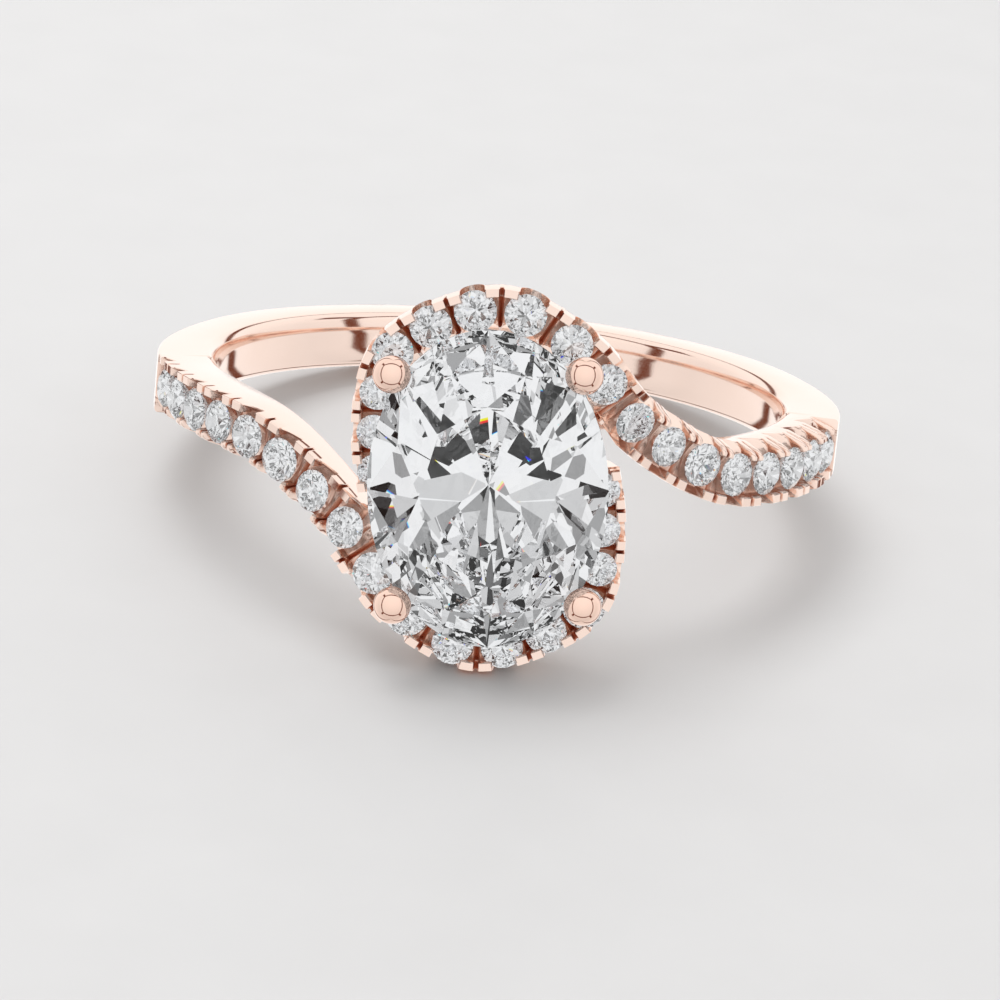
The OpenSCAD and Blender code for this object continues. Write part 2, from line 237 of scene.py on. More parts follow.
# %% Make the materials
# Painted shade: the darker, redder colour painted into recesses, with their rougher gold below.
RECESS_PAINTED_SHADE = (0.56, 0.22, 0.12, 1)
RECESS_ROUGHNESS = 0.38
RECESS_REACH = 0.45
BUFFING_LINES = 0.03
BUMP_STRENGTH = 0.4
DIAMOND_IOR = 2.417
CLEAR_TONES = ((1.0, 1.0, 1.0), (0.95, 0.97, 1.0))


def buffed_material(name, tones, patch_size):
    material = bpy.data.materials.new(name)
    material.use_nodes = True
    tree = material.node_tree
    surface = add_node(tree, "Group", node_tree=BUFFED)
    surface.inputs["Tone"].default_value = (*tones[0], 1)
    surface.inputs["Second Tone"].default_value = (*tones[1], 1)
    surface.inputs["Patch Size"].default_value = patch_size
    return material, tree, surface, tree.nodes["Principled BSDF"]


def gold(name, tones, patch_size, polish, relief):
    material, tree, surface, shader = buffed_material(name, tones, patch_size)
    surface.inputs["Line Size"].default_value = BUFFING_LINES
    surface.inputs["Smoothest"].default_value = polish[0]
    surface.inputs["Roughest"].default_value = polish[1]
    shader.inputs["Metallic"].default_value = 1.0
    # Painted shade in the recesses between the claws, and a rougher surface there.
    recess = add_node(tree, "Group", node_tree=RECESS)
    recess.inputs["Painted Recess Shade"].default_value = RECESS_PAINTED_SHADE
    recess.inputs["Recess Roughness"].default_value = RECESS_ROUGHNESS
    recess.inputs["Reach"].default_value = RECESS_REACH * MM
    tree.links.new(surface.outputs["Color"], recess.inputs["Color"])
    tree.links.new(surface.outputs["Roughness"], recess.inputs["Roughness"])
    tree.links.new(recess.outputs["Color"], shader.inputs["Base Color"])
    tree.links.new(recess.outputs["Roughness"], shader.inputs["Roughness"])
    bump = add_node(tree, "Bump", {"Strength": BUMP_STRENGTH, "Distance": relief * MM})
    tree.links.new(surface.outputs["Height"], bump.inputs["Height"])
    tree.links.new(bump.outputs["Normal"], shader.inputs["Normal"])
    return material


def stone(name, patch_size, glare):
    material, tree, surface, shader = buffed_material(name, CLEAR_TONES, patch_size)
    tree.links.new(surface.outputs["Color"], shader.inputs["Base Color"])
    shader.inputs["Transmission Weight"].default_value = 1.0
    shader.inputs["IOR"].default_value = DIAMOND_IOR
    shader.inputs["Roughness"].default_value = 0.0
    shader.inputs["Specular Tint"].default_value = (glare, glare, glare, 1)
    return material


GOLD = gold("polished_rose_gold", ((0.94, 0.75, 0.66), (0.91, 0.71, 0.61)), 1.6, (0.06, 0.14), 0.004)
CLAW_GOLD = gold("burnished_claw_gold", ((0.92, 0.68, 0.57), (0.89, 0.63, 0.52)), 0.8, (0.05, 0.11), 0.003)
CENTER = stone("oval_brilliant", 1.2, 0.25)
PAVE = stone("round_brilliant", 0.4, 0.9)
print("materials:", [m.name for m in bpy.data.materials])

# %% [markdown]
# ## The setter's drawing
# The metal is one rail of stones that runs up each side of the finger, passes
# the middle stone and closes round it. A short table says where that rail goes.
# It is the table that the CAD model is built from, less one column that only the
# solids use. It is in millimetres and degrees, with the finger axis along Y and
# the head at the top, so both models share one drawing.

# %% Write down the drawing
FINGER_R = 8.65
BAND_T = 1.45
BAND_R = FINGER_R + BAND_T
HALF_W = 0.9
SHOULDER = 0.32
COMFORT = 0.24
CRISP = 0.1
SEAT_LIFT = 0.05
SEAT_R = BAND_R + SEAT_LIFT
STONE_RISE = 2.88
GIRDLE_Z = FINGER_R + STONE_RISE
RAIL_DROP = 0.24
HEAD_TURN = math.radians(5.2)
ARM_WALL = SEAT_R - FINGER_R - COMFORT
BORE_CUT = 0.35
ARM_DEPTH = SEAT_R - FINGER_R + BORE_CUT
ARM_FOOT = HALF_W - (ARM_DEPTH - ARM_WALL)
TURN, LIFT, SIDE, FACE, OUTER, INNER, WALL, TUCK, DEPTH, FOOT = range(10)
STATIONS = np.array([
    # turn, lift, side, face, outer, inner, wall, tuck, depth, foot
    [90.0, 0.10, 0.00, 90.0, HALF_W, HALF_W, ARM_WALL, 0.00, ARM_DEPTH, ARM_FOOT],
    [74.0, 0.05, 0.00, 74.0, HALF_W, HALF_W, ARM_WALL, 0.00, ARM_DEPTH, ARM_FOOT],
    [58.0, 0.00, 0.00, 58.0, HALF_W, HALF_W, ARM_WALL, 0.00, ARM_DEPTH, ARM_FOOT],
    [43.5, 0.00, 0.15, 43.5, HALF_W, HALF_W, ARM_WALL, 0.08, ARM_DEPTH, ARM_FOOT],
    [32.2, 0.00, 0.86, 29.0, HALF_W, HALF_W, ARM_WALL, 0.20, ARM_DEPTH, ARM_FOOT],
    [20.9, 0.42, 2.05, 15.0, 0.86, 0.80, 1.30, 0.24, 1.95, 0.34],
    [12.4, 0.60, 3.81, 6.0, 0.70, 0.64, 0.85, 0.22, 1.45, 0.30],
    [0.9, 0.35, 4.89, 1.0, 0.64, 0.62, 0.80, 0.20, 1.35, 0.26],
    [-9.7, 0.50, 4.33, -2.0, 0.64, 0.62, 0.80, 0.20, 1.35, 0.26],
    [-16.7, 0.81, 3.12, -4.0, 0.66, 0.60, 0.80, 0.20, 1.35, 0.26],
    [-17.5, 0.86, 0.99, -5.0, 0.68, 0.54, 0.80, 0.18, 1.35, 0.26],
    [-16.0, 0.77, -1.11, -5.0, 0.48, 0.50, 0.80, 0.10, 1.35, 0.26],
    [-15.2, 0.74, -1.75, -5.0, 0.25, 0.45, 0.80, 0.04, 1.35, 0.20],
])
RUNS = [
    # stones, diameter, gap between neighbours
    (6, 1.27, 0.12),
    (5, 1.20, 0.34),
    (3, 1.20, 0.11),
    (3, 1.00, 0.14),
]
FIRST_SEAT = 2.62
ARM_COUNT = 8
SEAT_D = [d for count, d, gap in RUNS for _ in range(count)]
SEAT_GAP = [gap for count, d, gap in RUNS for _ in range(count)]
SEAT_COUNT = len(SEAT_D)


def half_pitch(i):
    return (SEAT_D[i - 1] + SEAT_D[i] + SEAT_GAP[i - 1] + SEAT_GAP[i]) / 4


SEAT_RUN = [FIRST_SEAT]
for i in range(1, SEAT_COUNT):
    SEAT_RUN.append(SEAT_RUN[-1] + 2 * half_pitch(i))
print("stones on one rail:", SEAT_COUNT, "over", round(SEAT_RUN[-1], 2), "mm")


# %% [markdown]
# A smooth curve goes through the rows of the table, and it is measured once
# along its length. From then on a place on the rail is one number, its run from
# the start, and each place has its own axes: along the rail, towards the inside
# of the halo, and out of the stones' tables.

# %% Follow the rail
def row_at(rows, t):
    last = len(rows) - 1
    i = max(0, min(math.floor(t), last - 1))
    u = t - i
    before = rows[max(i - 1, 0)]
    here = rows[i]
    after = rows[i + 1]
    beyond = rows[min(i + 2, last)]
    return (2 * here + (after - before) * u
            + (2 * before - 5 * here + 4 * after - beyond) * u * u
            + (3 * here - before - 3 * after + beyond) * u ** 3) / 2


def strand_point(row):
    turn = math.radians(row[TURN])
    reach = SEAT_R + row[LIFT]
    return np.array([reach * math.sin(turn), row[SIDE], reach * math.cos(turn)])


def unit(v):
    return v / np.linalg.norm(v)


SAMPLES = 240
T_STEPS = np.linspace(0, len(STATIONS) - 1, SAMPLES + 1)
TRACK = np.array([strand_point(row_at(STATIONS, t)) for t in T_STEPS])
RUN_STEPS = np.concatenate([[0], np.cumsum(np.linalg.norm(np.diff(TRACK, axis=0), axis=1))])
STRAND_L = RUN_STEPS[-1]


def row_of(run):
    return row_at(STATIONS, np.interp(run, RUN_STEPS, T_STEPS))


def strand_frame(run):
    step = 0.05
    row = row_of(run)
    along = unit(strand_point(row_of(min(run + step, STRAND_L)))
                 - strand_point(row_of(max(run - step, 0))))
    face = math.radians(row[FACE])
    look = np.array([math.sin(face), 0, math.cos(face)])
    out = unit(look - (look @ along) * along)
    return along, np.cross(out, along), out, strand_point(row)


print("rail length:", round(STRAND_L, 2), "mm")

# %% [markdown]
# The drawn ring is then laid on its side. It leans back until the lowest claws
# of the halo and the back of the band both touch the table.

# %% Lay the drawn ring on the table
HALO_REACH = 5.54
HALO_FRONT = 10.18
HEEL_R = BAND_R - CRISP
BEAD_R = 0.53
BEAD = (2.65, 3.28, 0.20)
LEAN = math.atan2(HALO_REACH - HALF_W, HALO_FRONT + HEEL_R)
REST_HEIGHT = HEEL_R * math.sin(LEAN) + HALF_W * math.cos(LEAN)
BEAD_LOW = BEAD[0] * math.sin(HEAD_TURN) + BEAD[1] * math.cos(HEAD_TURN)
FRONT = (GIRDLE_Z + BEAD[2]) * math.cos(LEAN) + BEAD_LOW * math.sin(LEAN) + BEAD_R
BACK = BAND_R * math.cos(LEAN) + (HALF_W - CRISP) * math.sin(LEAN)


def laid(points):
    x, across, up = np.asarray(points, float).reshape(-1, 3).T
    y = across * math.sin(LEAN) - up * math.cos(LEAN) + (FRONT - BACK) / 2
    z = across * math.cos(LEAN) + up * math.sin(LEAN) + REST_HEIGHT
    return np.column_stack([x, y, z]) * MM


def half_turned(points):
    return np.asarray(points) * (-1, -1, 1)


print("the ring leans back by", round(math.degrees(LEAN), 2), "degrees")

# %% [markdown]
# ## One mesh for the band, the arms and the halo
# The metal is swept: one outline of 34 points travels along the rail and changes
# shape as it goes, and the gaps between the outlines are filled with quads. The
# shape follows a setter's work: a notch is sawn under each stone from both sides,
# and what is left between two stones is split into a pair of claws. The notches
# of the arms slant, and those of the halo are round.
#
# Four short tables give the claws, from the middle of a gap outwards. The claws
# of the arms are square blocks on the inner edge and slim fins on the outer one.
# Those of the halo are blocks on its outer edge, with one small claw inside.
#
# The other sizes say how wide the inner claws are across the rail ("inner_lane"),
# how far the outer wall curls over ("curve") and its claws reach in ("tip"), how
# high that wall stands between them ("rim"), how deep the saw goes on the outer
# and on the inner side, and how far the inner wall's edge dips ("scallop"). Seen
# from the side, those dips are the row of leaves along the bright wall of an arm:
# each one deepens towards the head and ends in a steep step. Stops along the rail
# that would nearly touch are merged.

# %% Write down the claws and the notches
CLAW_TOP = 0.17
METAL_TOP = -0.25
LEAST_NOTCH = 0.25
NOTCH_ANGLES = (0, 14, 32, 52, 72)
LEAF_BULGE = 0.6
LEAF_STEP = 0.02
CLOSEST_STOPS = 0.003
ARM_EDGES = {
    # away from the middle of the gap, share of a full claw
    "inner": [(0.045, 0), (0.052, 0.8), (0.075, 1), (0.375, 1), (0.400, 0.8), (0.408, 0)],
    "outer": [(0.034, 0), (0.040, 0.6), (0.065, 0.92), (0.100, 1),
              (0.205, 1), (0.240, 0.92), (0.265, 0.6), (0.271, 0)],
    "inner_lane": 0.27,
    "curve": 0.32,
    "tip": 0.14,
    "rim": -0.62,
    "notch_depths": (0.74, 0.16),
    "scallop": 0.36,
}
HALO_EDGES = {
    "inner": [(0.048, 1), (0.070, 0.8), (0.076, 0)],
    "outer": [(0.032, 0.5), (0.042, 0.85), (0.065, 1), (0.355, 1), (0.382, 0.8), (0.390, 0)],
    "inner_lane": 0.16,
    "curve": 0.05,
    "tip": 0.25,
    "rim": -0.42,
    "notch_depths": (0.42, 0.40),
    "scallop": 0.0,
}
GROOVE_DEPTH = 0.15
GROOVE_HALF = 0.10


def claw_share(table, away):
    places, shares = zip(*table)
    return float(np.interp(away, places, shares))


def round_notch(past, half_width):
    """How deep a round notch is, 'past' the middle of its stone, from 0 to 1."""
    share = min(1, abs(past) / half_width)
    return math.sqrt(1 - share * share)


def leaf_notch(past, half_width):
    """A slanting notch: it deepens towards the head and ends in a steep wall."""
    share = min(1, max(0, (past / half_width + 1) / 2))
    return min(share ** LEAF_BULGE, (1 - share) / LEAF_STEP)


def half_gap(gap, half):
    """Stops from the middle of a gap to the middle of the next stone, 'half' away."""
    edges = ARM_EDGES if gap < ARM_COUNT else HALO_EDGES
    ends = [edges[side][-1][0] for side in ("inner", "outer")]
    shrink = min(1, (half - LEAST_NOTCH) / max(ends))
    inner, outer = [[(a * shrink, s) for a, s in edges[side]] for side in ("inner", "outer")]
    widths = (half - inner[-1][0], half - outer[-1][0])
    spots = {0.0, half} | {a for a, s in inner + outer}
    spots |= {half - w * math.cos(math.radians(a)) for w in widths for a in NOTCH_ANGLES}
    kept = [0.0]
    for spot in sorted(spots):
        if spot - kept[-1] > CLOSEST_STOPS:
            kept.append(spot)
    return [{
        "away": a,
        "inner_claw": claw_share(inner, a),
        "outer_claw": claw_share(outer, a),
        "half": half,
        "widths": widths,
        "edges": edges,
    } for a in kept]


def placed(stop, middle, way):
    """A stop with its run on the rail and the depth of both notches there."""
    notch = leaf_notch if stop["edges"] is ARM_EDGES else round_notch
    past = (stop["away"] - stop["half"]) * way
    inner, outer = [notch(past, width) for width in stop["widths"]]
    return {**stop, "run": middle + way * stop["away"], "inner_notch": inner, "outer_notch": outer}


STOPS = []
for gap in range(SEAT_COUNT + 1):
    half = half_pitch(min(max(gap, 1), SEAT_COUNT - 1))
    stops = half_gap(gap, half)
    middle = SEAT_RUN[gap] - half if gap < SEAT_COUNT else SEAT_RUN[-1] + half
    if gap > 0:
        STOPS += [placed(stop, middle, -1) for stop in stops[:0:-1]]
    if gap < SEAT_COUNT:
        first = 0 if gap > 0 else next(k for k, stop in enumerate(stops) if stop["inner_claw"] == 1)
        STOPS += [placed(stop, middle, 1) for stop in stops[first:-1]]
print("outlines along one rail:", len(STOPS))


# %% [markdown]
# Each outline starts at the inner foot, goes up the wall, over the claws and the
# bed under the stone, down the outer wall and back along the finger hole. The
# bed follows the cone under the stone, and the notch cuts it lower still.

# %% Draw one outline of the rail
EASE_PULL = 0.4
SEAT_AIR = 0.01
CONE_SLOPE = 0.8
CLAW_SOFT = 0.03
CLAW_BREAK = 0.04
TOP_BREAK = 0.025
FLANK = 0.01
WALL_STEP = 0.02
RIM_CURL = 0.3
CLAW_CURL = 1.6
CURL_STEPS = (1.0, 0.72, 0.46, 0.24, 0.08)
HALVINGS = 30


def on_bore(point):
    """The point itself, or the same point pushed out to the wall of the finger hole."""
    reach = math.hypot(point[0], point[2])
    if reach >= FINGER_R:
        return point
    return np.array([point[0] * FINGER_R / reach, point[1], point[2] * FINGER_R / reach])


def foot_on_bore(wall_end, foot):
    low, high = 0.0, 1.0
    if math.hypot(foot[0], foot[2]) >= FINGER_R:
        return foot
    for _ in range(HALVINGS):
        share = (low + high) / 2
        point = wall_end + share * (foot - wall_end)
        if math.hypot(point[0], point[2]) >= FINGER_R:
            low = share
        else:
            high = share
    return wall_end + low * (foot - wall_end)


def eased(wall_end, foot, corner):
    """Three points on the eased edge between a wall and the underside."""
    middle = (wall_end + foot) / 2
    pull = middle + EASE_PULL * (corner - middle)
    return [(1 - u) ** 2 * wall_end + 2 * u * (1 - u) * pull + u * u * foot for u in (0.25, 0.5, 0.75)]


def closed_outline(top, wall_ends, feet, inward):
    """Adds the eased edges and the underside to the points from wall to wall."""
    corners = [foot + ((end - foot) @ inward) * inward for end, foot in zip(wall_ends, feet)]
    inner = [feet[0], *eased(wall_ends[0], feet[0], corners[0])[::-1], wall_ends[0]]
    outer = [wall_ends[1], *eased(wall_ends[1], feet[1], corners[1]), feet[1]]
    under = [on_bore(feet[1] + s * (feet[0] - feet[1])) for s in (1 / 3, 2 / 3)]
    return inner + top + outer + under


def bed_height(run, y):
    heights = [METAL_TOP]
    for place, d in zip(SEAT_RUN, SEAT_D):
        away = math.hypot(run - place, y)
        if away < d / 2:
            heights.append(METAL_TOP - SEAT_AIR - CONE_SLOPE * (d / 2 - away))
    return min(heights)


def rail_outline(stop):
    run, edges = stop["run"], stop["edges"]
    inner_claw, outer_claw = stop["inner_claw"], stop["outer_claw"]
    along, inward, out, origin = strand_frame(run)
    row = row_of(run)
    y_in, y_out = row[INNER], -row[OUTER]
    outer_depth, inner_depth = edges["notch_depths"]
    rim = edges["rim"]
    groove = GROOVE_DEPTH * max(0, 1 - stop["away"] / GROOVE_HALF)

    def bed(y):
        share = (y - y_out) / (y_in - y_out)
        cut = share * inner_depth * stop["inner_notch"] + (1 - share) * outer_depth * stop["outer_notch"]
        return min(bed_height(run, y), METAL_TOP - max(cut, groove))

    def lean_in(z):
        return row[TUCK] * min(1, max(0, (-RAIL_DROP - z) / (row[WALL] - RAIL_DROP)))

    def inner_wall(z):
        return y_in - lean_in(z)

    def raised(y, claw, drop):
        return bed(y) + claw * (CLAW_TOP - drop - bed(y))

    def outer_height(t):
        y = y_out + edges["curve"] * t
        plain = min(bed(y), rim + RIM_CURL * (1 - (1 - t) ** 2))
        claw = rim + (CLAW_TOP - rim) * (1 - (1 - t) ** CLAW_CURL)
        return y, plain + outer_claw * (claw - plain)

    lane = y_in - edges["inner_lane"]
    foot_out = y_out + edges["curve"] + edges["tip"]
    top_in = raised(y_in, inner_claw, 0)
    if edges["scallop"]:
        full_claw = next(away for away, share in edges["inner"] if share == 1)
        split = 1 - inner_claw if stop["away"] < full_claw else 0
        top_in = max(top_in, CLAW_TOP - edges["scallop"] * max(stop["inner_notch"], split))
    points = [
        (inner_wall(top_in - CLAW_SOFT), top_in - CLAW_SOFT),
        (inner_wall(top_in) - TOP_BREAK, top_in),
        (lane + CLAW_SOFT, raised(lane, inner_claw, 0)),
        (lane, raised(lane, inner_claw, CLAW_BREAK)),
        (lane - FLANK, bed(lane)),
    ]
    middle_steps = 7
    for k in range(1, middle_steps):
        y = lane + (foot_out - lane) * k / middle_steps
        points.append((y, bed(y)))
    points += [
        (foot_out + FLANK, bed(foot_out)),
        (foot_out, raised(foot_out, outer_claw, CLAW_BREAK)),
        (foot_out - CLAW_SOFT, raised(foot_out, outer_claw, 0)),
    ]
    points += [outer_height(t) for t in CURL_STEPS]
    points.append((y_out + lean_in(rim), min(rim, points[-1][1]) - WALL_STEP))
    knee = min(-RAIL_DROP, points[0][1] - WALL_STEP)
    points.insert(0, (inner_wall(knee), knee))
    low = (points[-1][1] - row[WALL]) / 2
    points.append((y_out + lean_in(low), low))

    def place(y, z):
        return origin + y * inward + z * out

    wall_ends = [place(y_in - row[TUCK], -row[WALL]), place(y_out + row[TUCK], -row[WALL])]
    feet = [foot_on_bore(wall_ends[0], place(row[FOOT], -row[DEPTH])),
            foot_on_bore(wall_ends[1], place(-row[FOOT], -row[DEPTH]))]
    return closed_outline([place(y, z) for y, z in points], wall_ends, feet, inward)


print("points in one outline:", len(rail_outline(STOPS[0])))


# %% [markdown]
# Round the back of the finger there are no stones, and the outline is a plain
# bar with softly broken edges. It is thickest beside the stones and thins
# towards the back, which saves gold and makes the ring comfortable to wear.

# %% Draw one outline of the plain band
BAND_FROM = 79.2
BAND_EVEN = 114
BAND_STEPS = 64
SOFT = 0.12
CORNER_SHARE = 0.12


def band_outline(turn):
    past = min(1, (turn - BAND_FROM) / (BAND_EVEN - BAND_FROM))
    outer_r = BAND_R + SHOULDER * (1 + math.cos(math.pi * past)) / 2
    angle = math.radians(turn)
    out = np.array([math.sin(angle), 0, math.cos(angle)])
    inward = np.array([0.0, -1.0, 0.0])
    side = [
        (HALF_W, (FINGER_R + COMFORT + outer_r) / 2),
        (HALF_W, outer_r - SOFT),
        (HALF_W - CORNER_SHARE * SOFT, outer_r - 0.5 * SOFT),
        (HALF_W - 0.5 * SOFT, outer_r - CORNER_SHARE * SOFT),
        (HALF_W - SOFT, outer_r),
    ]
    across_steps = 7
    side += [((HALF_W - SOFT) * (1 - k / (across_steps - 0.5)), outer_r) for k in range(1, across_steps)]
    top = side + [(-y, r) for y, r in side[::-1]]
    points = [y * inward + r * out for y, r in top]
    wall_ends = [s * HALF_W * inward + (FINGER_R + COMFORT) * out for s in (1, -1)]
    feet = [s * (HALF_W - COMFORT) * inward + FINGER_R * out for s in (1, -1)]
    return closed_outline(points, wall_ends, feet, inward)


print("points in one outline:", len(band_outline(180)))


# %% [markdown]
# The two halves of the ring are the same, half a turn apart, so one half is swept
# and the other is its turned copy. The seam at the back is welded. Edges sharper
# than 40 degrees stay crisp, and the rest are shaded smooth.

# %% Sweep the ring
SHARP_EDGE = 40
WELD = 1e-7


def sweep(outlines):
    """Points and quads of a skin over outlines, with both ends left open."""
    n = len(outlines[0])
    points = np.concatenate([np.array(o) for o in outlines])
    quads = []
    for r in range(len(outlines) - 1):
        for k in range(n):
            a = r * n + k
            b = r * n + (k + 1) % n
            quads.append((a, b, b + n, a + n))
    return points, quads


def finish_modifiers(piece):
    """Turns a piece and its modifiers into one plain mesh."""
    graph = bpy.context.evaluated_depsgraph_get()
    finished = bpy.data.meshes.new_from_object(piece.evaluated_get(graph))
    piece.modifiers.clear()
    old = piece.data
    piece.data = finished
    finished.name = piece.name
    bpy.data.meshes.remove(old)


def shade(piece):
    """Smooth shading that keeps flat faces flat and sharp edges crisp."""
    piece.data.shade_smooth()
    piece.data.set_sharp_from_angle(angle=math.radians(SHARP_EDGE))
    weigh = piece.modifiers.new("flat faces first", "WEIGHTED_NORMAL")
    weigh.keep_sharp = True
    finish_modifiers(piece)


def make_piece(name, points, faces, material):
    shape = bmesh.new()
    corners = [shape.verts.new(p) for p in laid(points)]
    for face in faces:
        shape.faces.new([corners[i] for i in face])
    bmesh.ops.remove_doubles(shape, verts=shape.verts, dist=WELD)
    bmesh.ops.recalc_face_normals(shape, faces=shape.faces)
    mesh = bpy.data.meshes.new(name)
    shape.to_mesh(mesh)
    shape.free()
    mesh.materials.append(material)
    piece = bpy.data.objects.new(name, mesh)
    bpy.context.collection.objects.link(piece)
    shade(piece)
    return piece


def join_metal(piece):
    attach(piece, "root")
    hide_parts("ring_setting")
    piece.visible_transmission = False


turns = np.linspace(180, BAND_FROM, BAND_STEPS + 1)
outlines = [band_outline(t) for t in turns] + [rail_outline(stop) for stop in STOPS]
half_points, half_faces = sweep(outlines)
n = len(outlines[0])
tail = len(half_points) - n
half_faces.append(tuple(range(tail, tail + n)))
count = len(half_points)
both_points = np.concatenate([half_points, half_turned(half_points)])
both_faces = half_faces + [tuple(i + count for i in face) for face in half_faces]
band = make_piece("pave_band_and_halo", both_points, both_faces, GOLD)
join_metal(band)
print("triangles in the band:", sum(len(p.vertices) - 2 for p in band.data.polygons))

# %% [markdown]
# ## The prongs
# Four posts rise from the basket, lean out past the stone's edge and end in a
# round bead, as a cup burr leaves it. Each post is a bent tube, a little slimmer
# in the middle, the bead is a ball at its tip, and a short strut ties it to the
# halo. A copy of the stone, grown by a hair, is then cut out of all of them, and
# leaves the little seats that the stone sits in.

# %% Cut a brilliant
MAINS = 8
MID_PUSH = 0.02
LOW_SHARE = 0.24


def brilliant(width, length, table, crown, pavilion, girdle, arc_steps, grow):
    """Points and faces of a brilliant with eight mains, its girdle at z = 0."""
    mains = MAINS
    around = 2 * mains * arc_steps
    rx, ry = width / 2 + grow, length / 2 + grow
    mid_share, low_share = (1 + table) / 2 + MID_PUSH, LOW_SHARE
    half_main = math.cos(math.pi / mains)
    mid_rise = crown * (1 - mid_share * half_main) / (1 - table)
    low_drop = pavilion * (1 - low_share * half_main)
    half_arc = math.pi / (2 * mains)

    def ring(count, share, z, start=0.0):
        return [(rx * share * math.cos((k + start) * 2 * math.pi / count),
                 ry * share * math.sin((k + start) * 2 * math.pi / count), z) for k in range(count)]

    def rim(z, slope):
        edge = []
        for k, (x, y, _) in enumerate(ring(around, 1, 0)):
            past = math.cos((k % arc_steps) * 2 * half_arc / arc_steps - half_arc) / math.cos(half_arc) - 1
            edge.append((x, y, z - slope * past))
        return edge

    points = (ring(mains, table, girdle / 2 + crown + grow)
              + ring(mains, mid_share, girdle / 2 + mid_rise + grow, 0.5)
              + rim(girdle / 2 + grow, mid_rise / (1 - mid_share))
              + rim(-girdle / 2 - grow, -low_drop / (1 - low_share))
              + ring(mains, low_share, -girdle / 2 - low_drop - grow, 0.5)
              + [(0, 0, -girdle / 2 - pavilion - grow)])
    mid, upper = mains, 2 * mains
    lower = upper + around
    low = lower + around
    culet = low + mains
    step = 2 * arc_steps
    faces = [tuple(range(mains))]
    for i in range(mains):
        nxt, prv = (i + 1) % mains, (i - 1) % mains
        faces.append((i, mid + i, nxt))
        faces.append((i, mid + prv, upper + step * i, mid + i))
        faces.append((culet, low + prv, lower + step * i, low + i))
        for k in range(step):
            g, h = step * i + k, (step * i + k + 1) % around
            faces.append((mid + i, upper + g, upper + h))
            faces.append((upper + g, lower + g, lower + h, upper + h))
            faces.append((low + i, lower + h, lower + g))
    return np.array(points, float), faces


STONE_W, STONE_L = 6.7, 9.03
TABLE_SHARE, CROWN_H, PAVILION_H, GIRDLE_H = 0.56, 0.84, 2.72, 0.14
ARC_STEPS = 3
STONE_AIR = 0.03


def on_head(points):
    x, y, z = np.asarray(points, float).T
    c, s = math.cos(HEAD_TURN), math.sin(HEAD_TURN)
    return np.column_stack([x * c - y * s, x * s + y * c, z + GIRDLE_Z])


def oval_stone(grow):
    return brilliant(STONE_W, STONE_L, TABLE_SHARE, CROWN_H, PAVILION_H, GIRDLE_H, ARC_STEPS, grow)


print("facets of the oval:", len(oval_stone(0)[1]))

# %% Raise the prongs
PRONG_STATIONS = np.array([
    # across, along, height, radius
    [2.65, 3.28, 0.20, 0.30],
    [2.48, 3.07, -0.45, 0.27],
    [2.20, 2.75, -1.00, 0.26],
    [2.10, 2.62, -1.70, 0.27],
    [2.05, 2.50, -2.45, 0.30],
])
STRUT_FROM = np.array([2.08, 2.56, -1.9])
STRUT_R = 0.16
STRUT_L = 1.02
POST_STEPS = 17
POST_SIDES = 20
STRUT_SIDES = 14
BEAD_ROWS, BEAD_SIDES = 26, 40
TUBE_SIDEWAYS = (0.3, 1.0, 0.2)  # a direction that no tube here follows


def tube(centres, radii, sides):
    """Skin of a tube through centres, both ends closed."""
    centres = np.asarray(centres, float)
    outlines = []
    for k, (centre, r) in enumerate(zip(centres, radii)):
        ahead = unit(centres[min(k + 1, len(centres) - 1)] - centres[max(k - 1, 0)])
        first = unit(np.cross(ahead, TUBE_SIDEWAYS))
        second = np.cross(ahead, first)
        angles = [2 * math.pi * s / sides for s in range(sides)]
        outlines.append([centre + r * (math.cos(a) * first + math.sin(a) * second) for a in angles])
    points, faces = sweep(outlines)
    faces += [tuple(range(sides)), tuple(range(len(points) - sides, len(points)))]
    return points, faces


def ball(centre, r, rows, sides):
    heights = [math.pi * k / rows for k in range(1, rows)]
    outlines = [[np.array(centre) + r * np.array([math.sin(h) * math.cos(2 * math.pi * s / sides),
                 math.sin(h) * math.sin(2 * math.pi * s / sides), math.cos(h)]) for s in range(sides)]
                for h in heights]
    points, faces = sweep(outlines)
    count = len(points)
    points = np.concatenate([points, [np.array(centre) + (0, 0, r), np.array(centre) - (0, 0, r)]])
    for s in range(sides):
        faces.append((count, s, (s + 1) % sides))
        faces.append((count + 1, count - sides + s, count - sides + (s + 1) % sides))
    return points, faces


def merged(parts):
    points, faces = [], []
    for p, f in parts:
        faces += [tuple(i + len(points) for i in face) for face in f]
        points += list(p)
    return np.array(points, float), faces


def prong():
    rows = [row_at(PRONG_STATIONS, t) for t in np.linspace(0, len(PRONG_STATIONS) - 1, POST_STEPS)]
    post = tube([r[:3] for r in rows], [r[3] for r in rows], POST_SIDES)
    away = unit(np.array([BEAD[0], BEAD[1], 0]))
    strut_stops = [STRUT_FROM + share * STRUT_L * away for share in (0, 0.5, 1)]
    strut = tube(strut_stops, [STRUT_R] * len(strut_stops), STRUT_SIDES)
    return merged([post, strut, ball(BEAD, BEAD_R, BEAD_ROWS, BEAD_SIDES)])


def cut_seat(piece):
    """Cuts the grown stone out of a piece."""
    points, faces = oval_stone(STONE_AIR)
    cutter = make_piece("seat_cutter", on_head(points), faces, GOLD)
    cut = piece.modifiers.new("seat", "BOOLEAN")
    cut.object = cutter
    cut.operation = "DIFFERENCE"
    cut.solver = "EXACT"
    cut.use_self = True
    finish_modifiers(piece)
    bpy.data.objects.remove(cutter)
    shade(piece)


